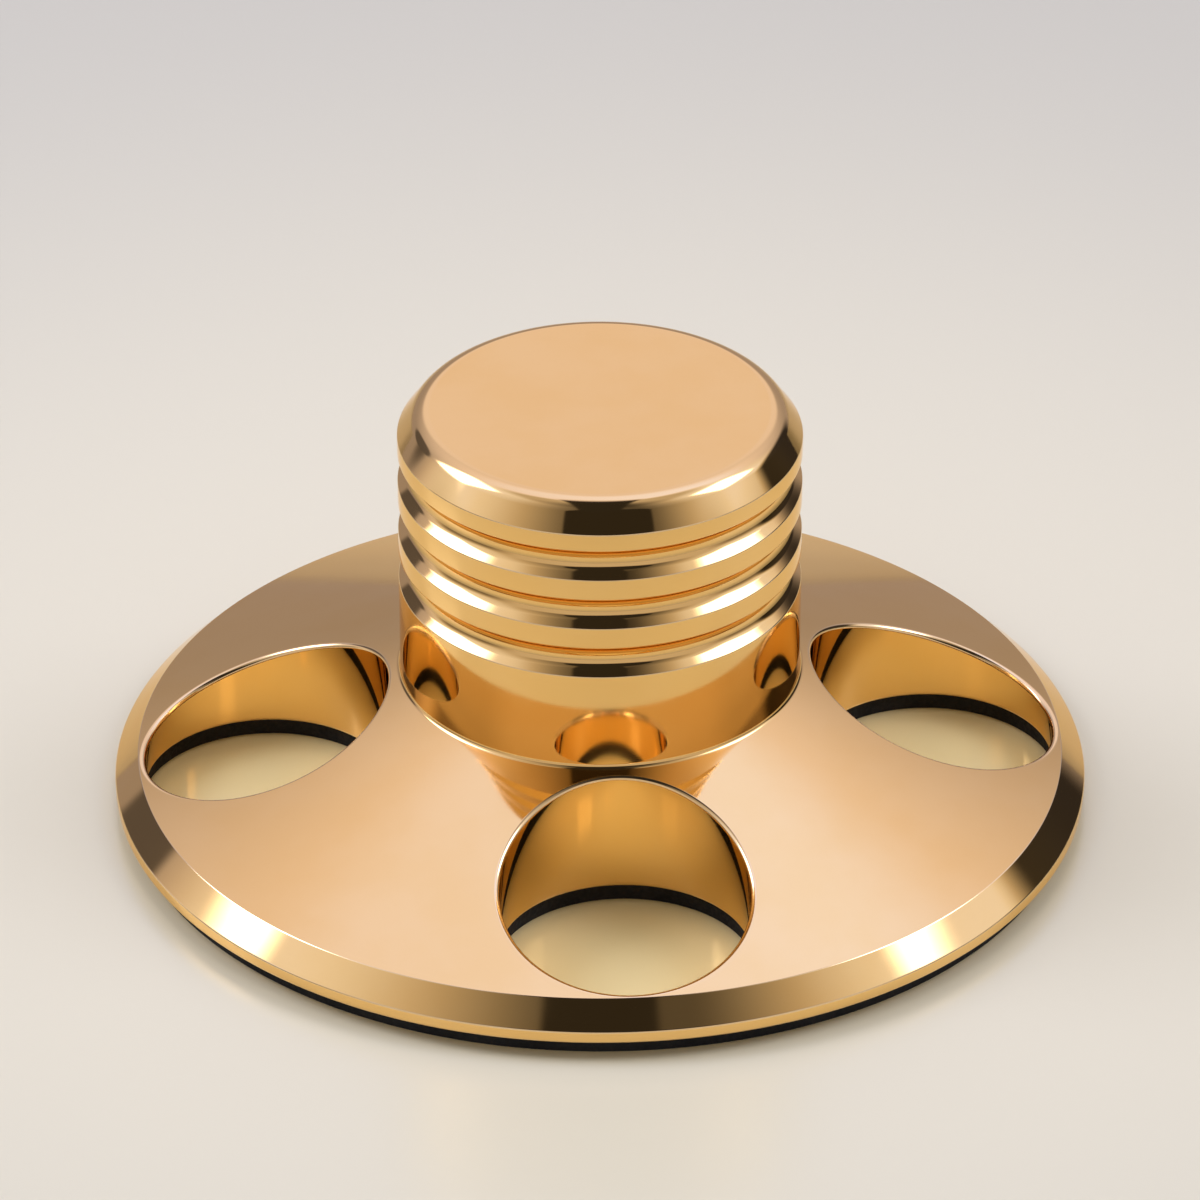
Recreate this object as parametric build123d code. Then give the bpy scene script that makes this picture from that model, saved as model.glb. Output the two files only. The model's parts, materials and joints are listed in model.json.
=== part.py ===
# Record weight: a turned and plated metal weight with a thin rubber foot glued under it.
# Millimetres, Z up, origin at the centre of the foot where it rests on the record.
import os
from math import isclose, radians, tan

from build123d import *

# Overall sizes
base_diameter = 80.0
knob_diameter = 32.8
total_height = 36.2

# Flange: a low cone with a chamfered rim over a thin upright lip
lip_height = 1.05
rim_chamfer = 1.95
cone_angle = 20.0
lip_edge_break = 0.2

# Ring of through-holes, as large as the webs to the rim and to the neck leave room for
hole_count = 4
rim_web = 0.4
neck_web = 0.85
hole_edge_break = 0.25

# Knob: round-bottomed finger grooves below a chamfered top
top_chamfer_width = 1.7
top_chamfer_drop = 2.3
top_land = 1.45
groove_count = 3
groove_width = 2.7
groove_depth = 0.85
groove_pitch = 4.5
knob_edge_break = 0.35

# Blind bore that slips over the record spindle
spindle_diameter = 7.2
spindle_clearance = 0.1
bore_depth = 22.0
bore_lead_in = 1.0
drill_angle = 118.0

# Rubber foot, die-cut a little back from the metal all round
foot_thickness = 1.4
foot_inset = 1.0
foot_hole_margin = 0.2
foot_bore_margin = 1.3

# Radii worked out from the sizes above
base_radius = base_diameter / 2
knob_radius = knob_diameter / 2
top_radius = knob_radius - top_chamfer_width
cone_radius = base_radius - rim_chamfer
bore_radius = spindle_diameter / 2 + spindle_clearance
mouth_radius = bore_radius + bore_lead_in

# Heights, from the record upwards
under_z = foot_thickness
lip_z = under_z + lip_height
cone_z = lip_z + rim_chamfer
neck_z = cone_z + (cone_radius - knob_radius) * tan(radians(cone_angle))
shoulder_z = total_height - top_chamfer_drop
bore_end_z = under_z + bore_depth
bore_tip_z = bore_end_z + bore_radius / tan(radians(drill_angle / 2))

# Through-holes, from the room between neck and rim
hole_inner_edge = knob_radius + neck_web
hole_outer_edge = cone_radius - rim_web
hole_radius = (hole_outer_edge - hole_inner_edge) / 2
hole_ring_radius = (hole_outer_edge + hole_inner_edge) / 2
hole_places = PolarLocations(hole_ring_radius, hole_count)

# Each groove is an arc of the given width and depth, centred just outside the knob
groove_radius = (groove_width**2 / 4 + groove_depth**2) / (2 * groove_depth)
groove_axis_radius = knob_radius + groove_radius - groove_depth
first_groove_z = shoulder_z - top_land - groove_width / 2
groove_heights = [first_groove_z - i * groove_pitch for i in range(groove_count)]


def corner(section, radius, height):
    """Vertex of the section nearest to a point given as radius and height."""
    return section.vertices().sort_by_distance((radius, height, 0))[0]


def weight_section():
    """Half section of the turned weight, radius along X and height along Y."""
    outline = Polyline(
        (mouth_radius, under_z),
        (base_radius, under_z),
        (base_radius, lip_z),
        (cone_radius, cone_z),
        (knob_radius, neck_z),
        (knob_radius, shoulder_z),
        (top_radius, total_height),
        (0, total_height),
        (0, bore_tip_z),
        (bore_radius, bore_end_z),
        (bore_radius, under_z + bore_lead_in),
        close=True,
    )
    section = make_face(outline)
    for height in groove_heights:
        section -= Pos(groove_axis_radius, height) * Circle(groove_radius)

    # The turned edges that the hand meets are broken
    section = chamfer(corner(section, base_radius, lip_z), lip_edge_break)
    knob_edges = [corner(section, knob_radius, shoulder_z), corner(section, top_radius, total_height)]
    return chamfer(knob_edges, knob_edge_break)


def make_weight():
    """Turned weight with its ring of holes, chamfered above and below."""
    weight = revolve(Plane.XZ * weight_section(), Axis.Z)
    drill = Cylinder(hole_radius, total_height, align=(Align.CENTER, Align.CENTER, Align.MIN))
    weight -= [place * drill for place in hole_places]

    walls = weight.faces().filter_by(GeomType.CYLINDER)
    hole_walls = walls.filter_by(lambda wall: isclose(wall.radius, hole_radius))
    rims = hole_walls.edges().filter_by(GeomType.LINE, reverse=True)
    return chamfer(rims, hole_edge_break)


def make_foot():
    """Flat rubber foot with a hole under each through-hole and one round the spindle."""
    outline = Circle(base_radius - foot_inset) - Circle(mouth_radius + foot_bore_margin)
    outline -= [place * Circle(hole_radius + foot_hole_margin) for place in hole_places]
    return extrude(outline, foot_thickness)


parts = {
    "weight_body": make_weight(),
    "rubber_foot": make_foot(),
}

os.makedirs("parts", exist_ok=True)
for name, part in parts.items():
    export_step(part, f"parts/{name}.step")
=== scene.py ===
import json
import math

import bmesh
import bpy
from mathutils import Matrix, Vector


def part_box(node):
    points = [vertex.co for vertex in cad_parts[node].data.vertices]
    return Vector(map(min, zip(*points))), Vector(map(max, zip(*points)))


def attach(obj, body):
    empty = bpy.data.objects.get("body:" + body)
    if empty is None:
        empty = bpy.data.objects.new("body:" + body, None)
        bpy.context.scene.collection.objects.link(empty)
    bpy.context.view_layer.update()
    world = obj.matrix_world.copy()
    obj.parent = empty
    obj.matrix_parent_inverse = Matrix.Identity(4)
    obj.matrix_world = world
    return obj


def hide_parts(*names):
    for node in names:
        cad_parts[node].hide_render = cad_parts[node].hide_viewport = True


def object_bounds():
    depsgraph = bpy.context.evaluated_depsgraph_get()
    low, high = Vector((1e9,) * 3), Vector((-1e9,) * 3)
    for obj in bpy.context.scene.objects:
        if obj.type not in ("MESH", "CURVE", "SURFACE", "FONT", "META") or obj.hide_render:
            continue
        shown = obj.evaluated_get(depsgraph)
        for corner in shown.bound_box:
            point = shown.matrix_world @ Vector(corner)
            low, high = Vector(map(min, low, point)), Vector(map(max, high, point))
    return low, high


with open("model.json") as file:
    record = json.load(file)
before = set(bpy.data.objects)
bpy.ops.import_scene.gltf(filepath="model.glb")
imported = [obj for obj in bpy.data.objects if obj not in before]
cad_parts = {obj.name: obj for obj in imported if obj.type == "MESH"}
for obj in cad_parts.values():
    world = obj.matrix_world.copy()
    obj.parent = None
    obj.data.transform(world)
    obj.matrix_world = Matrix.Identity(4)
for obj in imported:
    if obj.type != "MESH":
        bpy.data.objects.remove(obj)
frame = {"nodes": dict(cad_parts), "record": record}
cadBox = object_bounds()
mm = 0.001
print("frame: loaded", sorted(frame["nodes"]))


# small shape helpers, points are (radius, height) in a half section

poleGap = 1e-6 * mm  # points this near the axis share one pole


def spread(start, end, steps):
    return [start + (end - start) * i / steps for i in range(steps + 1)]


def alongArc(centre, radius, start, end, steps):  # angles from outwards towards up
    return [centre + radius * Vector((math.cos(a), math.sin(a))) for a in spread(start, end, steps)]


def roundCorner(before, corner, after, radius, steps):
    toBefore = (before - corner).normalized()
    toAfter = (after - corner).normalized()
    half = toBefore.angle(toAfter) / 2
    centre = corner + (toBefore + toAfter).normalized() * radius / math.sin(half)
    arm = corner + toBefore * radius / math.tan(half) - centre
    turn = math.copysign(math.pi - 2 * half, (corner - before).cross(after - corner))
    return [centre + Matrix.Rotation(a, 2) @ arm for a in spread(0, turn, steps)]


def roundedLine(points, radius, steps):  # ends stay, every corner between them is rounded
    line = [points[0]]
    for before, corner, after in zip(points, points[1:], points[2:]):
        line += roundCorner(before, corner, after, radius, steps)
    return line + [points[-1]]


def skin(bm, columns, closed=False):  # faces between neighbouring columns of points
    poles = {}
    grid = []
    for column in columns:
        line = []
        for x, y, z in column:
            onAxis = math.hypot(x, y) < poleGap
            line.append(poles[z] if onAxis and z in poles else bm.verts.new((x, y, z)))
            if onAxis:
                poles[z] = line[-1]
        grid.append(line)
    neighbours = grid[1:] + grid[:1] if closed else grid[1:]
    for near, far in zip(grid, neighbours):
        for i in range(len(near) - 1):
            corners = (near[i], near[i + 1], far[i + 1], far[i])
            bm.faces.new(dict.fromkeys(corners))  # three corners at a pole


# one sector of a round plate with a hole in it, repeated round the axis by Geometry Nodes

sector = {
    "arcSteps": 96,     # columns across one sector
    "sideSteps": 28,    # columns along each straight side of it
    "plateSteps": 6,    # rows between the sector's edge and the hole
    "roundSteps": 6,    # rows round an edge
    "weldGap": 0.0004 * mm,
}


def turned(profile, angles):  # a half section swept over the sector
    return [[(r * math.cos(a), r * math.sin(a), z) for r, z in profile] for a in angles]


def sectorEdge(outer, inner, half):  # clockwise round the sector, seen from above
    angles = spread(half, -half, sector["arcSteps"])
    side = spread(outer, inner, sector["sideSteps"])[1:-1]
    edge = [(outer, a) for a in angles] + [(r, -half) for r in side]
    edge += [(inner, a) for a in reversed(angles)] + [(r, half) for r in reversed(side)]
    return [Vector((r * math.cos(a), r * math.sin(a))) for r, a in edge]


def holeColumn(top, bottom, hole, direction):  # down through the hole, both edges rounded
    radius, rounding = hole["radius"], hole["round"]
    rim = hole["centre"] + direction * radius
    slope = -math.tan(top["angle"]) * rim.normalized().dot(direction)
    tilt = math.atan(slope)
    high = top["height"](rim.length) + rounding * (slope - 1 / math.cos(tilt))
    steps = sector["roundSteps"]
    reach = radius + rounding
    upper = alongArc(Vector((reach, high)), rounding, math.pi / 2 + tilt, math.pi, steps)
    lower = alongArc(Vector((reach, bottom + rounding)), rounding, math.pi, 1.5 * math.pi, steps)
    return [(*(hole["centre"] + direction * s), z) for s, z in upper + lower]


def holedPlate(bm, top, bottom, hole, topEdge, bottomEdge):
    columns = []
    shares = spread(0, 1, sector["plateSteps"])
    for outer, under in zip(topEdge, bottomEdge):
        column = holeColumn(top, bottom, hole, (outer - hole["centre"]).normalized())
        first, last = Vector(column[0][:2]), Vector(column[-1][:2])
        above = [outer.lerp(first, s) for s in shares[:-1]]
        below = [last.lerp(under, s) for s in shares[1:]]
        column = [(*p, top["height"](p.length)) for p in above] + column
        columns.append(column + [(*p, bottom) for p in below])
    skin(bm, columns, closed=True)


def copiesTree():  # turns copies of a sector round Z, welds them and gives them their finish
    tree = bpy.data.node_groups.new("sectorCopies", "GeometryNodeTree")
    kinds = {"Sector": "Geometry", "Copies": "Int", "Weld Gap": "Float", "Finish": "Material"}
    sockets = {}
    for name, kind in kinds.items():
        sockets[name] = tree.interface.new_socket(name, in_out="INPUT", socket_type="NodeSocket" + kind)
    tree.interface.new_socket("Piece", in_out="OUTPUT", socket_type="NodeSocketGeometry")
    add = tree.nodes.new
    given, made = add("NodeGroupInput"), add("NodeGroupOutput")
    points, index = add("GeometryNodePoints"), add("GeometryNodeInputIndex")
    step, angle = add("ShaderNodeMath"), add("ShaderNodeMath")
    turn, copies = add("FunctionNodeAxisAngleToRotation"), add("GeometryNodeInstanceOnPoints")
    real, weld = add("GeometryNodeRealizeInstances"), add("GeometryNodeMergeByDistance")
    smooth, finish = add("GeometryNodeSetShadeSmooth"), add("GeometryNodeSetMaterial")
    step.operation, angle.operation = "DIVIDE", "MULTIPLY"
    step.inputs[0].default_value = 2 * math.pi
    link = tree.links.new
    link(given.outputs["Copies"], points.inputs["Count"])
    link(given.outputs["Copies"], step.inputs[1])
    link(index.outputs[0], angle.inputs[0])
    link(step.outputs[0], angle.inputs[1])
    link(angle.outputs[0], turn.inputs["Angle"])
    link(points.outputs[0], copies.inputs["Points"])
    link(given.outputs["Sector"], copies.inputs["Instance"])
    link(turn.outputs[0], copies.inputs["Rotation"])
    link(copies.outputs[0], real.inputs[0])
    link(real.outputs[0], weld.inputs["Geometry"])
    link(given.outputs["Weld Gap"], weld.inputs["Distance"])
    link(weld.outputs[0], smooth.inputs[0])
    link(smooth.outputs[0], finish.inputs["Geometry"])
    link(given.outputs["Finish"], finish.inputs["Material"])
    link(finish.outputs[0], made.inputs[0])
    return tree, {name: socket.identifier for name, socket in sockets.items()}


sectorCopies, copyInputs = copiesTree()


def plainMesh(obj, name):  # the evaluated result as a piece of its own
    graph = bpy.context.evaluated_depsgraph_get()
    mesh = bpy.data.meshes.new_from_object(obj.evaluated_get(graph), depsgraph=graph)
    bpy.data.objects.remove(obj)
    mesh.name = name
    piece = bpy.data.objects.new(name, mesh)
    bpy.context.scene.collection.objects.link(piece)
    return piece


def roundPiece(name, bm, copies, finish):
    mesh = bpy.data.meshes.new(name + "Sector")
    bm.to_mesh(mesh)
    bm.free()
    obj = bpy.data.objects.new(name + "Sector", mesh)
    bpy.context.scene.collection.objects.link(obj)
    repeat = obj.modifiers.new("copies", "NODES")
    repeat.node_group = sectorCopies
    repeat[copyInputs["Copies"]] = copies
    repeat[copyInputs["Weld Gap"]] = sector["weldGap"]
    repeat[copyInputs["Finish"]] = finish
    even = obj.modifiers.new("evenNormals", "WEIGHTED_NORMAL")  # flats stay flat beside their rounds
    even.mode = "FACE_AREA"
    return plainMesh(obj, name)


def keepValue(piece, name, values):
    layer = piece.data.attributes.new(name, "FLOAT", "POINT")
    layer.data.foreach_set("value", values)


def markEdgeTightness(piece, fullRound):  # 1 where an outer edge is as tight as the given radius, 0 on flats
    mesh = piece.data
    points, normals = [v.co for v in mesh.vertices], [v.normal for v in mesh.vertices]
    bends = [[0.0, 0.0] for point in points]
    for a, b in (edge.vertices for edge in mesh.edges):
        way = points[b] - points[a]
        bend = min((normals[b] - normals[a]).dot(way) / way.length_squared * fullRound, 1)
        for end in (a, b):
            bends[end] = sorted(bends[end] + [bend])[1:]
    keepValue(piece, "edgeTightness", [pair[0] for pair in bends])  # second sharpest, so it ends with the round


# shader helpers

def feed(tree, socket, part):  # a link, a colour or a plain number
    if isinstance(part, bpy.types.NodeSocket):
        tree.links.new(part, socket)
    else:
        socket.default_value = (*part, 1) if isinstance(part, tuple) else part


def maths(tree, operation, *values):  # a math node fed by sockets or plain numbers
    node = tree.nodes.new("ShaderNodeMath")
    node.operation = operation
    for socket, value in zip(node.inputs, values):
        feed(tree, socket, value)
    return node.outputs[0]


def vectorMaths(tree, operation, vector):
    node = tree.nodes.new("ShaderNodeVectorMath")
    node.operation = operation
    feed(tree, node.inputs[0], vector)
    return node


def vectorParts(tree, vector):
    node = tree.nodes.new("ShaderNodeSeparateXYZ")
    feed(tree, node.inputs[0], vector)
    return node.outputs


def softStep(tree, value, start, end):  # 0 before start, 1 after end, eased between
    node = tree.nodes.new("ShaderNodeMapRange")
    node.interpolation_type = "SMOOTHSTEP"
    for name, part in (("Value", value), ("From Min", start), ("From Max", end)):
        feed(tree, node.inputs[name], part)
    return node.outputs[0]


def blend(tree, kind, mask, first, second):
    mix = tree.nodes.new("ShaderNodeMix")
    mix.data_type = kind
    ends = [s for s in mix.inputs if s.type == kind.replace("FLOAT", "VALUE")][-2:]
    for socket, part in zip((mix.inputs["Factor"], *ends), (mask, first, second)):
        feed(tree, socket, part)
    return next(s for s in mix.outputs if s.type == ends[0].type)


def blendColours(tree, mask, first, second):
    return blend(tree, "RGBA", mask, first, second)


def between(tree, mask, low, high):  # a value that runs from low to high with a mask
    return blend(tree, "FLOAT", mask, low, high)


# shared shader groups, each puts out one mask

masks = {
    "noiseRange": (0.3, 0.7),  # the part of a noise's range that fills the mask
    "cloudDetail": 3,
    "lineDetail": 2,
    "lineFall": -0.8,          # turning lines run outwards and, by this share, downwards
    "bandInBreaks": 0.45,      # share of the edge wear and painted highlight that is left in the breaks
}
patchInputs = ("Centre Azimuth", "Centre Elevation", "Half Width", "Half Height", "Softness")


def newGroup(name, *inputs):
    tree = bpy.data.node_groups.new(name, "ShaderNodeTree")
    for label in inputs:
        kind = "NodeSocketVector" if label == "Vector" else "NodeSocketFloat"
        tree.interface.new_socket(label, in_out="INPUT", socket_type=kind)
    tree.interface.new_socket("Mask", in_out="OUTPUT", socket_type="NodeSocketFloat")
    given, made = tree.nodes.new("NodeGroupInput"), tree.nodes.new("NodeGroupOutput")
    return tree, given.outputs, made.inputs["Mask"]


def noiseNode(tree, dimensions, detail):
    noise = tree.nodes.new("ShaderNodeTexNoise")
    noise.noise_dimensions = dimensions
    noise.inputs["Detail"].default_value = detail
    return noise


def mottleGroup():  # soft cloudy mask with a finer one inside it
    tree, given, mask = newGroup("softMottle", "Vector", "Size", "Fine Share")
    noise = noiseNode(tree, "3D", masks["cloudDetail"])
    feed(tree, noise.inputs["Vector"], given["Vector"])
    feed(tree, noise.inputs["Scale"], maths(tree, "DIVIDE", 1, given["Size"]))
    feed(tree, noise.inputs["Roughness"], given["Fine Share"])
    feed(tree, mask, softStep(tree, noise.outputs[0], *masks["noiseRange"]))
    return tree


def linesGroup():  # fine rings left by turning, running round Z
    tree, given, mask = newGroup("turningLines", "Vector", "Pitch")
    x, y, z = vectorParts(tree, given["Vector"])
    squares = maths(tree, "ADD", maths(tree, "POWER", x, 2), maths(tree, "POWER", y, 2))
    along = maths(tree, "MULTIPLY_ADD", z, masks["lineFall"], maths(tree, "SQRT", squares))
    noise = noiseNode(tree, "1D", masks["lineDetail"])
    feed(tree, noise.inputs["W"], maths(tree, "DIVIDE", along, given["Pitch"]))
    feed(tree, mask, softStep(tree, noise.outputs[0], *masks["noiseRange"]))
    return tree


def edgeWearAndHighlightGroup():  # wear along the outer edges, and on the gold a painted highlight there too, broken up so that it never runs evenly
    tree, given, mask = newGroup("edgeWearAndHighlight", "Wear And Highlight", "Breaks")
    kept = between(tree, given["Breaks"], 1.0, masks["bandInBreaks"])
    feed(tree, mask, maths(tree, "MULTIPLY", given["Wear And Highlight"], kept))
    return tree


def turnFrom(tree, azimuth, centre):  # degrees from the centre, the short way round
    return maths(tree, "WRAP", maths(tree, "SUBTRACT", azimuth, centre), 180, -180)


def patchGroup():  # 1 inside an oval patch of sky, fading over its edge, angles in degrees
    tree, given, mask = newGroup("skyPatch", "Azimuth", "Elevation", *patchInputs)
    aside = turnFrom(tree, given["Azimuth"], given["Centre Azimuth"])
    above = maths(tree, "SUBTRACT", given["Elevation"], given["Centre Elevation"])
    offset = tree.nodes.new("ShaderNodeCombineXYZ")
    feed(tree, offset.inputs["X"], maths(tree, "DIVIDE", aside, given["Half Width"]))
    feed(tree, offset.inputs["Y"], maths(tree, "DIVIDE", above, given["Half Height"]))
    away = vectorMaths(tree, "LENGTH", offset.outputs[0]).outputs["Value"]
    feed(tree, mask, softStep(tree, away, maths(tree, "ADD", given["Softness"], 1), 1))
    return tree


softMottle = mottleGroup()
turningLines = linesGroup()
edgeWearAndHighlight = edgeWearAndHighlightGroup()
skyPatch = patchGroup()


def newMaterial(name):
    material = bpy.data.materials.new(name)
    material.use_nodes = True
    return material, material.node_tree, material.node_tree.nodes["Principled BSDF"]


def place(tree, group, inputs):  # a shared group with its inputs fed, its mask comes back
    node = tree.nodes.new("ShaderNodeGroup")
    node.node_tree = group
    for name, part in inputs.items():
        feed(tree, node.inputs[name], part)
    return node.outputs["Mask"]


def mottle(tree, coords, size, fine):
    return place(tree, softMottle, {"Vector": coords, "Size": size, "Fine Share": fine})


def meshValue(tree, name):  # a value kept on the points of the mesh
    node = tree.nodes.new("ShaderNodeAttribute")
    node.attribute_name = name
    return node.outputs["Fac"]


def addBump(tree, shader, height, depth):
    bump = tree.nodes.new("ShaderNodeBump")
    bump.inputs["Distance"].default_value = depth
    feed(tree, bump.inputs["Height"], height)
    feed(tree, shader.inputs["Normal"], bump.outputs[0])


# polished gold plating

goldLook = {
    "colour": (0.90, 0.56, 0.195),
    "edgeTint": (1.0, 0.9, 0.72),
    "paleColour": (0.915, 0.585, 0.22),
    # paler edge colour: partly wear, partly a painted highlight along the rims and hole edges
    "wearAndHighlightColour": (0.95, 0.70, 0.38),
    "cloudSize": 9 * mm,
    "cloudFine": 0.55,
    "linePitch": 0.3 * mm,
    "lineDepth": 0.00006 * mm,
    "roughLow": 0.03,
    "roughHigh": 0.065,
    "roughLines": 0.015,  # added where the turning lines are strongest
    "roughWorn": 0.13,
}


def goldPlating():
    material, tree, shader = newMaterial("goldPlating")
    coords = tree.nodes.new("ShaderNodeTexCoord").outputs["Object"]
    cloud = mottle(tree, coords, goldLook["cloudSize"], goldLook["cloudFine"])
    wearAndHighlight = place(tree, edgeWearAndHighlight, {"Wear And Highlight": meshValue(tree, "edgeTightness"), "Breaks": cloud})
    lines = place(tree, turningLines, {"Vector": coords, "Pitch": goldLook["linePitch"]})
    lines = maths(tree, "MULTIPLY", lines, meshValue(tree, "turned"))
    colour = blendColours(tree, cloud, goldLook["colour"], goldLook["paleColour"])
    # the edges are paler: partly wear, partly a painted highlight line along the rims and hole edges
    feed(tree, shader.inputs["Base Color"], blendColours(tree, wearAndHighlight, colour, goldLook["wearAndHighlightColour"]))
    rough = between(tree, cloud, goldLook["roughLow"], goldLook["roughHigh"])
    rough = maths(tree, "MULTIPLY_ADD", lines, goldLook["roughLines"], rough)
    feed(tree, shader.inputs["Roughness"], between(tree, wearAndHighlight, rough, goldLook["roughWorn"]))
    addBump(tree, shader, lines, goldLook["lineDepth"])
    feed(tree, shader.inputs["Metallic"], 1)
    feed(tree, shader.inputs["Specular Tint"], goldLook["edgeTint"])
    return material


# black sheet rubber

rubberLook = {
    "colour": (0.007, 0.007, 0.008),
    "paleColour": (0.017, 0.017, 0.018),
    "wearAndHighlightColour": (0.035, 0.034, 0.033),
    "gloss": 0.3,
    "roughLow": 0.7,
    "roughHigh": 0.9,
    "grainSize": 0.35 * mm,
    "grainFine": 0.5,
    "grainDepth": 0.03 * mm,
    "cloudSize": 6 * mm,
    "cloudFine": 0.6,
}


def sheetRubber():
    material, tree, shader = newMaterial("sheetRubber")
    coords = tree.nodes.new("ShaderNodeTexCoord").outputs["Object"]
    cloud = mottle(tree, coords, rubberLook["cloudSize"], rubberLook["cloudFine"])
    grain = mottle(tree, coords, rubberLook["grainSize"], rubberLook["grainFine"])
    wearAndHighlight = place(tree, edgeWearAndHighlight, {"Wear And Highlight": meshValue(tree, "edgeTightness"), "Breaks": grain})
    colour = blendColours(tree, cloud, rubberLook["colour"], rubberLook["paleColour"])
    feed(tree, shader.inputs["Base Color"], blendColours(tree, wearAndHighlight, colour, rubberLook["wearAndHighlightColour"]))
    rough = between(tree, grain, rubberLook["roughLow"], rubberLook["roughHigh"])
    feed(tree, shader.inputs["Roughness"], rough)
    feed(tree, shader.inputs["Specular IOR Level"], rubberLook["gloss"])
    addBump(tree, shader, grain, rubberLook["grainDepth"])
    return material


gold = goldPlating()
rubber = sheetRubber()
print("finishes: made", gold.name, rubber.name)


# turned weight

weight = {
    "lipHeight": 1.05 * mm,
    "rimChamfer": 1.95 * mm,
    "coneAngle": math.radians(20),
    "neckRound": 0.45 * mm,
    "rimRound": 0.25 * mm,
    "topRound": 2.0 * mm,
    "shoulderRound": 0.2 * mm,
    "knobRadius": 16.4 * mm,
    "chamferWidth": 1.7 * mm,
    "chamferDrop": 2.3 * mm,
    "topLand": 1.45 * mm,
    "grooveCount": 3,
    "grooveWidth": 2.7 * mm,
    "grooveDepth": 1.0 * mm,
    "grooveFlank": math.radians(52),
    "groovePitch": 4.5 * mm,
    "grooveSteps": 16,
    "lipRound": 0.15 * mm,    # at both lips of a groove
    "holeCount": 4,
    "rimWeb": 0.6 * mm,       # metal left between a hole and the rim
    "neckWeb": 1.0 * mm,
    "holeRound": 0.4 * mm,
    "boredShare": 0.9,        # how much of that round counts as bored, not turned
    "leadIn": 1.0 * mm,
    "drillAngle": math.radians(118),
    "fullBandRound": 0.35 * mm,   # edges this tight get the full band of wear and painted highlight
    "sameSpot": 0.004 * mm,   # points this near a face lie on it
}
low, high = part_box("weight_body")
underZ, topZ = low.z, high.z
baseRadius = min(high.xy)  # the smaller reach, so that nothing stands out of the box
coneRadius = baseRadius - weight["rimChamfer"]
lipZ = underZ + weight["lipHeight"]
coneZ = lipZ + weight["rimChamfer"]
knobRadius = weight["knobRadius"]
spindleBore = next(m for m in frame["record"]["mounts"] if m["name"] == "spindle_bore")
boreRadius = spindleBore["dims"]["r_mm"] * mm
boreEndZ = spindleBore["pos_m"][2] + spindleBore["dims"]["length_mm"] * mm / 2
mouthRadius = boreRadius + weight["leadIn"]
holeInner = knobRadius + weight["neckWeb"]
holeOuter = coneRadius - weight["rimWeb"]
holeRadius = (holeOuter - holeInner) / 2
holeCentre = Vector(((holeInner + holeOuter) / 2, 0))
halfSector = math.pi / weight["holeCount"]
sectorAngles = spread(-halfSector, halfSector, sector["arcSteps"])


def coneHeight(radius):
    return coneZ + (coneRadius - radius) * math.tan(weight["coneAngle"])


def grooveLine(height):  # rounded lip, flank, rounded bottom, flank and rounded lip, from the top down
    half, flank = weight["grooveWidth"] / 2, weight["grooveFlank"]
    vee = half * math.tan(flank)  # depth at which the flanks would meet
    bottomRound = (vee - weight["grooveDepth"]) / (1 / math.cos(flank) - 1)
    points = [(knobRadius, topZ), (knobRadius, height + half), (knobRadius - vee, height)]
    points += [(knobRadius, height - half), (knobRadius, underZ)]
    above, upper, bottom, lower, below = (Vector(p) for p in points)
    lip, steps = weight["lipRound"], sector["roundSteps"]
    line = roundCorner(above, upper, bottom, lip, steps)
    line += roundCorner(upper, bottom, lower, bottomRound, weight["grooveSteps"])
    return line + roundCorner(bottom, lower, below, lip, steps)


def knobLine():  # from the middle of the top down to the cone
    shoulderZ = topZ - weight["chamferDrop"]
    topRadius = knobRadius - weight["chamferWidth"]
    firstZ = shoulderZ - weight["topLand"] - weight["grooveWidth"] / 2
    heights = [firstZ - i * weight["groovePitch"] for i in range(weight["grooveCount"])]
    corners = [(0, topZ), (topRadius, topZ), (knobRadius, shoulderZ), (knobRadius, firstZ)]
    middle, edge, shoulder, side = (Vector(c) for c in corners)
    steps = sector["roundSteps"]
    line = [middle] + roundCorner(middle, edge, shoulder, weight["topRound"], 2 * steps)
    line += roundCorner(edge, shoulder, side, weight["shoulderRound"], steps)
    for height in heights:
        line += grooveLine(height)
    neck = Vector((knobRadius, coneHeight(knobRadius)))
    ahead = Vector((coneRadius, coneZ))
    return line + roundCorner(line[-1], neck, ahead, weight["neckRound"], steps)


def rimLine():  # from the cone over the rim to the underside
    corners = [(coneRadius, coneZ), (baseRadius, lipZ), (baseRadius, underZ), (mouthRadius, underZ)]
    corners = [Vector((knobRadius, coneHeight(knobRadius)))] + [Vector(c) for c in corners]
    return roundedLine(corners, weight["rimRound"], sector["roundSteps"])[1:-1]


def boreLine():  # from the underside up the spindle bore to its drilled end
    tipZ = boreEndZ + boreRadius / math.tan(weight["drillAngle"] / 2)
    corners = [(mouthRadius, underZ), (boreRadius, underZ + weight["leadIn"])]
    return [Vector(c) for c in corners + [(boreRadius, boreEndZ), (0, tipZ)]]


def makeWeight():
    bm = bmesh.new()
    knob, rim, bore = knobLine(), rimLine(), boreLine()
    for line in (knob, rim, bore):
        skin(bm, turned(line, sectorAngles))
    hole = {"centre": holeCentre, "radius": holeRadius, "round": weight["holeRound"]}
    top = {"height": coneHeight, "angle": weight["coneAngle"]}
    topEdge = sectorEdge(rim[0].x, knob[-1].x, halfSector)
    bottomEdge = sectorEdge(rim[-1].x, bore[0].x, halfSector)
    holedPlate(bm, top, underZ, hole, topEdge, bottomEdge)
    return roundPiece("turnedWeight", bm, weight["holeCount"], gold)


def toHole(point):  # from a point to the middle of the nearest hole, seen from above
    turns = (Matrix.Rotation(2 * halfSector * i, 2) for i in range(weight["holeCount"]))
    return min((turn @ holeCentre - point.xy for turn in turns), key=lambda way: way.length)


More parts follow.
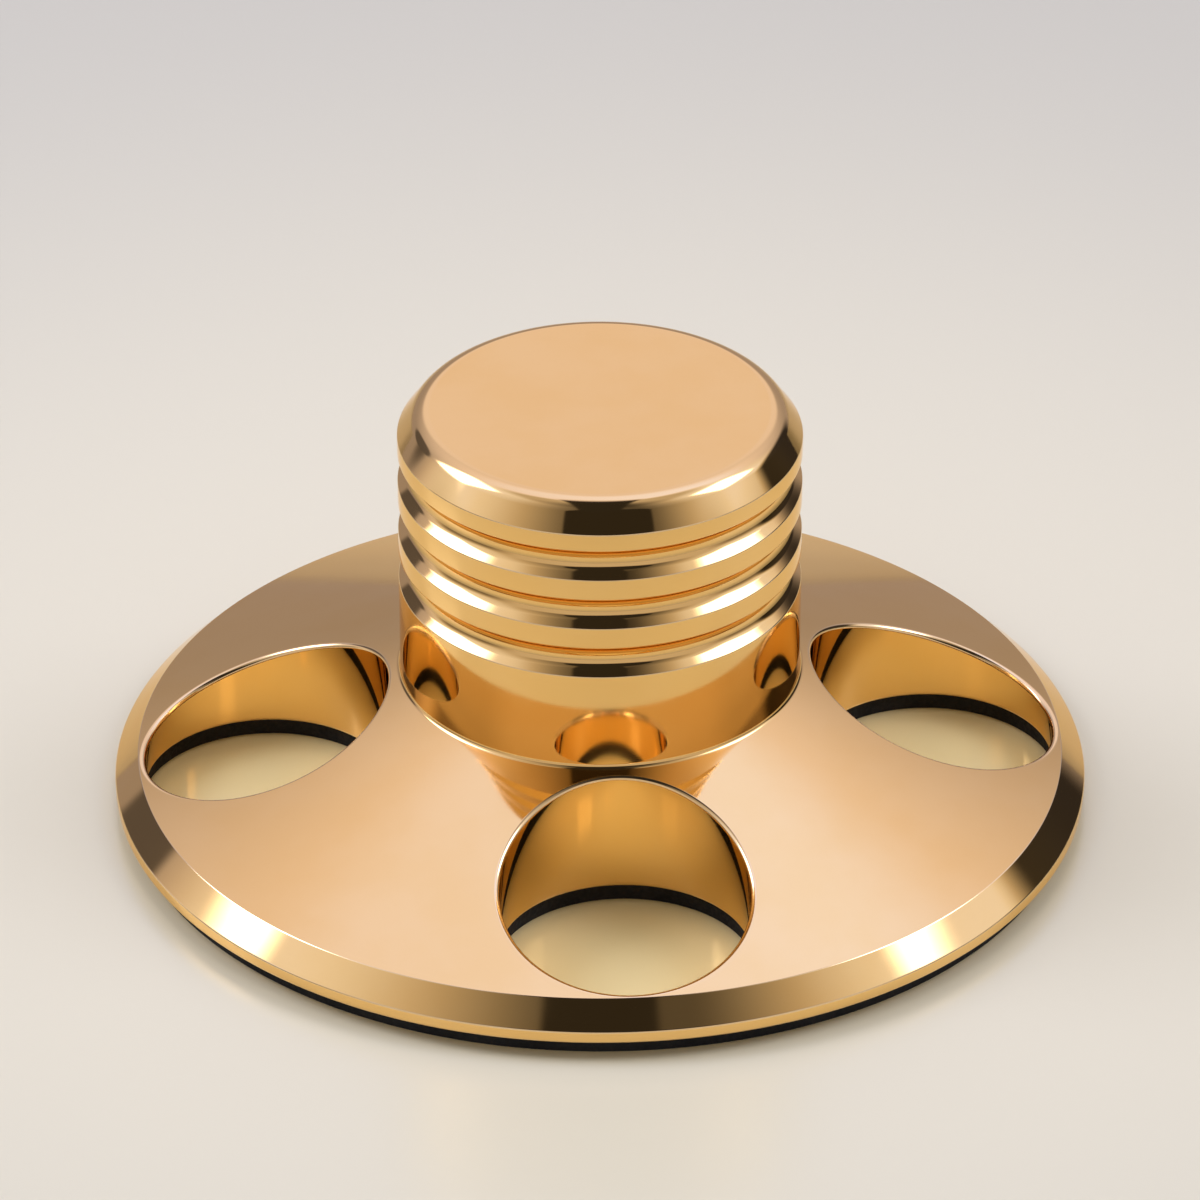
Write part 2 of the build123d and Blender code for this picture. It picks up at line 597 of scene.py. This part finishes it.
def markTurned(piece):  # 0 inside the bored holes, 1 on all that was turned
    reach = holeRadius + weight["holeRound"] * weight["boredShare"]
    keepValue(piece, "turned", [float(toHole(v.co).length > reach) for v in piece.data.vertices])


def exactNormals(piece):  # on the cone, the underside and the hole walls, where faces differ in width
    mesh, near = piece.data, weight["sameSpot"]
    coneEnd = rimLine()[0].x + near
    normals = [v.normal.copy() for v in mesh.vertices]
    for loop, corner in zip(mesh.loops, mesh.corner_normals):
        normals[loop.vertex_index] = corner.vector.copy()
    rise, lean = math.cos(weight["coneAngle"]), math.sin(weight["coneAngle"])
    for i, point in enumerate(v.co for v in mesh.vertices):
        reach, way = point.xy.length, toHole(point)
        if abs(way.length - holeRadius) < near:
            normals[i] = Vector((*way.normalized(), 0))
        elif knobRadius < reach < coneEnd and abs(point.z - coneHeight(reach)) < near:
            normals[i] = Vector((*(point.xy.normalized() * lean), rise))
        elif abs(point.z - underZ) < near:
            normals[i] = Vector((0, 0, -1))
    mesh.normals_split_custom_set_from_vertices(normals)


weightPiece = makeWeight()
markEdgeTightness(weightPiece, weight["fullBandRound"])
markTurned(weightPiece)
exactNormals(weightPiece)
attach(weightPiece, "root")
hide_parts("weight_body")
print("turned weight:", len(weightPiece.data.polygons), "faces")


# rubber foot

foot = {
    "holeMargin": 0.38 * mm,  # how far its holes stand back from those in the metal
    "boreMargin": 1.3 * mm,
    "edgeRound": 0.1 * mm,
    "fullBandRound": 0.1 * mm,
}


def makeFoot():
    footLow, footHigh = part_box("rubber_foot")
    outer = min(footHigh.xy)
    inner = mouthRadius + foot["boreMargin"]
    rounding, steps = foot["edgeRound"], sector["roundSteps"]
    bm = bmesh.new()
    outline = [(inner, footHigh.z), (outer, footHigh.z), (outer, footLow.z), (inner, footLow.z)]
    outline = [Vector(c) for c in outline]
    rim = roundedLine(outline, rounding, steps)[1:-1]
    bore = roundedLine(outline[2:] + outline[:2], rounding, steps)[1:-1]
    for line in (rim, bore):
        skin(bm, turned(line, sectorAngles))
    hole = {"centre": holeCentre, "radius": holeRadius + foot["holeMargin"], "round": rounding}
    top = {"height": lambda radius: footHigh.z, "angle": 0}
    topEdge = sectorEdge(rim[0].x, bore[-1].x, halfSector)
    bottomEdge = sectorEdge(rim[-1].x, bore[0].x, halfSector)
    holedPlate(bm, top, footLow.z, hole, topEdge, bottomEdge)
    return roundPiece("rubberFoot", bm, weight["holeCount"], rubber)


footPiece = makeFoot()
markEdgeTightness(footPiece, foot["fullBandRound"])
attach(footPiece, "root")
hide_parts("rubber_foot")
print("rubber foot:", len(footPiece.data.polygons), "faces")


# floor, studio light and camera

aim = (cadBox[0] + cadBox[1]) / 2


def outwards(azimuth, elevation):  # unit direction from the object, azimuth 0 is the front
    a, e = math.radians(azimuth), math.radians(elevation)
    return Vector((math.sin(a) * math.cos(e), -math.cos(a) * math.cos(e), math.sin(e)))


def standAt(obj, spot):  # in place, facing the object
    way = outwards(spot["azimuth"], spot["elevation"])
    obj.location = aim + way * spot["distance"]
    obj.rotation_euler = way.to_track_quat("Z", "Y").to_euler()
    bpy.context.scene.collection.objects.link(obj)


floorLook = {
    "size": 8.0,
    "under": (0.95, 0.79, 0.42),   # below the object: a painted yellow glow of light bounced off the gold, seen through the holes
    # near giving way to far: a painted pool of light, darker further out
    "near": (0.78, 0.72, 0.58),
    "far": (0.62, 0.585, 0.50),
    "paintedGlowFade": (0.036, 0.042),   # distances over which one colour gives way to the next
    "paintedPoolFade": (0.05, 0.16),
    "roughness": 0.24,
}


def makeFloor():
    half = floorLook["size"] / 2
    corners = [(-half, -half, 0), (half, -half, 0), (half, half, 0), (-half, half, 0)]
    mesh = bpy.data.meshes.new("floor")
    mesh.from_pydata(corners, [], [(0, 1, 2, 3)])
    material, tree, shader = newMaterial("paleFloorWithPaintedLight")
    coords = tree.nodes.new("ShaderNodeTexCoord").outputs["Object"]
    reach = vectorMaths(tree, "LENGTH", coords).outputs["Value"]
    # painted light: a yellow bounced glow under the object, then a pool of light fading outwards
    colour = floorLook["under"]
    for fade, further in (("paintedGlowFade", "near"), ("paintedPoolFade", "far")):
        colour = blendColours(tree, softStep(tree, reach, *floorLook[fade]), colour, floorLook[further])
    feed(tree, shader.inputs["Base Color"], colour)
    feed(tree, shader.inputs["Roughness"], floorLook["roughness"])
    mesh.materials.append(material)
    floor = bpy.data.objects.new("floor", mesh)
    bpy.context.scene.collection.objects.link(floor)


lampEdge = 0.25  # share of a softbox over which its light fades towards each side
lamps = [
    {
        "name": "leftSoftbox", "azimuth": -106, "elevation": 41, "distance": 0.63,
        "width": 0.34, "height": 0.38, "beam": 180,
        "glow": 6, "colour": (0.95, 1.0, 1.25), "mirrored": True,
    },
    {
        "name": "rightSoftbox", "azimuth": 90, "elevation": 44.5, "distance": 0.63,
        "width": 0.34, "height": 0.32, "beam": 180,
        "glow": 5, "colour": (0.95, 1.0, 1.25), "mirrored": True,
    },
    {
        "name": "topSoftbox", "azimuth": 0, "elevation": 89, "distance": 0.4,
        "width": 0.12, "height": 0.12, "beam": 55,
        "glow": 0.5, "colour": (1.0, 0.97, 0.9), "mirrored": False,
    },
]


def makeLamps():
    for spot in lamps:
        lamp = bpy.data.lights.new(spot["name"], "AREA")
        lamp.shape = "RECTANGLE"
        lamp.size, lamp.size_y = spot["width"], spot["height"]
        lamp.spread = math.radians(spot["beam"])
        lamp.color = spot["colour"]
        lamp.energy = spot["glow"] * math.pi * spot["width"] * spot["height"]
        lamp.use_nodes = True
        tree = lamp.node_tree
        across = vectorParts(tree, tree.nodes.new("ShaderNodeNewGeometry").outputs["Parametric"])
        inwards = [maths(tree, "PINGPONG", part, 0.5) for part in across[:2]]  # from the nearer side
        fades = [softStep(tree, share, 0, lampEdge) for share in inwards]
        feed(tree, tree.nodes["Emission"].inputs["Strength"], maths(tree, "MULTIPLY", *fades))
        obj = bpy.data.objects.new(spot["name"], lamp)
        obj.visible_glossy = spot["mirrored"]
        standAt(obj, spot)


sky = {  # angles in degrees, pairs are where a change starts and ends
    "backdrop": (0.85, 0.85, 0.85),
    "fillTint": (1.0, 0.98, 0.94),
    "frontAzimuth": 2,
    "frontDark": 0.10,
    "frontGlow": 0.95,
    "leftRise": (12, 94),       # aside from the front, where the light comes up
    "rightRise": (19, 79),
    "sideBlend": (-0.2, 0.2),
    "frontLow": (4, 26, 0.25),  # elevations where the front darkens towards the floor, and to what share
    "frontHigh": (57, 68, 0.6),
    "sideFrom": (100, 120),     # aside from the front, where it no longer darkens towards the floor
    "backFrom": (106, 132),
    "backLow": 0.38,
    "backHigh": 1.0,
    "backRise": (8, 62),
    "rightLift": 0.1,
    "zenith": (74, 88, 0.6),
    "frontTint": (1.0, 0.93, 0.95),
    "sideTint": (1.0, 1.03, 1.32),
    "backTint": (1.0, 0.97, 1.36),
    "brightTint": (1.0, 1.22, 2.4),
    "sideGlow": (0.5, 0.88),    # glows between which one tint gives way to the next
    "brightGlow": (0.88, 1.12),
    "apron": {"aside": (76, 52), "under": (34, 26), "glow": 0.62},  # pale and low in front
    "gap": {  # dark strip from the front over the top, between the softboxes
        "azimuth": -4.2, "half": 0.155, "soft": 0.03, "from": (40, 46), "to": (0.2, 0.05), "glow": 0.03,
    },
    "patches": [  # centre's azimuth and elevation, half width and height, softness, glow and share
        (176, 31, 16, 10, 0.7, 0.89, 1.0),
        (118.5, 6, 17, 15, 0.6, 0.02, 0.97),
        (-134.5, 15, 9.5, 9, 0.35, 0.095, 0.95),
        (1, 41, 27, 14, 0.08, 0.03, 1.0),
    ],
}


def frontSky(tree, x, aside, elevation):  # dark in the middle, brighter to both sides
    onRight = softStep(tree, x, *sky["sideBlend"])
    rise = [between(tree, onRight, *ends) for ends in zip(sky["leftRise"], sky["rightRise"])]
    glow = between(tree, softStep(tree, aside, *rise), sky["frontDark"], sky["frontGlow"])
    start, end, share = sky["frontLow"]
    share = between(tree, softStep(tree, aside, *sky["sideFrom"]), share, 1)
    glow = maths(tree, "MULTIPLY", glow, between(tree, softStep(tree, elevation, start, end), share, 1))
    start, end, share = sky["frontHigh"]
    glow = maths(tree, "MULTIPLY", glow, between(tree, softStep(tree, elevation, start, end), 1, share))
    apron = sky["apron"]
    inFront, under = softStep(tree, aside, *apron["aside"]), softStep(tree, elevation, *apron["under"])
    return between(tree, maths(tree, "MULTIPLY", inFront, under), glow, apron["glow"])


def backSky(tree, x, elevation):  # brighter upwards and a little to the right
    glow = between(tree, softStep(tree, elevation, *sky["backRise"]), sky["backLow"], sky["backHigh"])
    return maths(tree, "MULTIPLY", glow, maths(tree, "MULTIPLY_ADD", x, sky["rightLift"], 1))


def gapMask(tree, x, y, elevation):
    gap = sky["gap"]
    across = maths(tree, "MULTIPLY_ADD", y, math.sin(math.radians(gap["azimuth"])), x)
    mask = softStep(tree, maths(tree, "ABSOLUTE", across), gap["half"] + gap["soft"], gap["half"])
    for along, ends in ((elevation, gap["from"]), (y, gap["to"])):
        mask = maths(tree, "MULTIPLY", mask, softStep(tree, along, *ends))
    return mask


def skyTint(tree, glow, behind):
    bright = softStep(tree, glow, *sky["sideGlow"])
    tint = blendColours(tree, bright, sky["frontTint"], sky["sideTint"])
    tint = blendColours(tree, behind, tint, sky["backTint"])
    return blendColours(tree, softStep(tree, glow, *sky["brightGlow"]), tint, sky["brightTint"])


def makeWorld():
    world = bpy.data.worlds.new("studio")
    world.use_nodes = True
    tree = world.node_tree
    x, y, z = vectorParts(tree, tree.nodes.new("ShaderNodeTexCoord").outputs["Generated"])
    azimuth = maths(tree, "DEGREES", maths(tree, "ARCTAN2", x, maths(tree, "MULTIPLY", y, -1)))
    elevation = maths(tree, "DEGREES", maths(tree, "ARCSINE", z))
    aside = maths(tree, "ABSOLUTE", turnFrom(tree, azimuth, sky["frontAzimuth"]))
    behind = softStep(tree, aside, *sky["backFrom"])
    glow = between(tree, behind, frontSky(tree, x, aside, elevation), backSky(tree, x, elevation))
    start, end, top = sky["zenith"]
    glow = between(tree, softStep(tree, elevation, start, end), glow, top)
    for *shape, value, share in sky["patches"]:
        inputs = {"Azimuth": azimuth, "Elevation": elevation, **dict(zip(patchInputs, shape))}
        glow = between(tree, maths(tree, "MULTIPLY", place(tree, skyPatch, inputs), share), glow, value)
    glow = between(tree, gapMask(tree, x, y, elevation), glow, sky["gap"]["glow"])
    path = tree.nodes.new("ShaderNodeLightPath")
    tint = skyTint(tree, glow, behind)
    tint = blendColours(tree, path.outputs["Is Glossy Ray"], sky["fillTint"], tint)
    lit = vectorMaths(tree, "SCALE", tint)
    feed(tree, lit.inputs["Scale"], glow)
    shown = blendColours(tree, path.outputs["Is Camera Ray"], lit.outputs[0], sky["backdrop"])
    feed(tree, tree.nodes["Background"].inputs["Color"], shown)
    bpy.context.scene.world = world


view = {
    "azimuth": -4.2,
    "elevation": 31.1,
    "distance": 0.7,
    "frameWidth": 0.098,  # what the picture takes in, at the object
    "sensor": 36.0,
    "clip": (0.01, 20),
}


def makeCamera():
    camera = bpy.data.cameras.new("camera")
    camera.sensor_width = view["sensor"]
    camera.lens = view["sensor"] * view["distance"] / view["frameWidth"]
    camera.clip_start, camera.clip_end = view["clip"]
    obj = bpy.data.objects.new("camera", camera)
    standAt(obj, view)
    bpy.context.scene.camera = obj


makeFloor()
makeLamps()
makeWorld()
makeCamera()
bpy.context.scene.view_settings.view_transform = "Standard"
print("stage: floor, lamps and camera set")
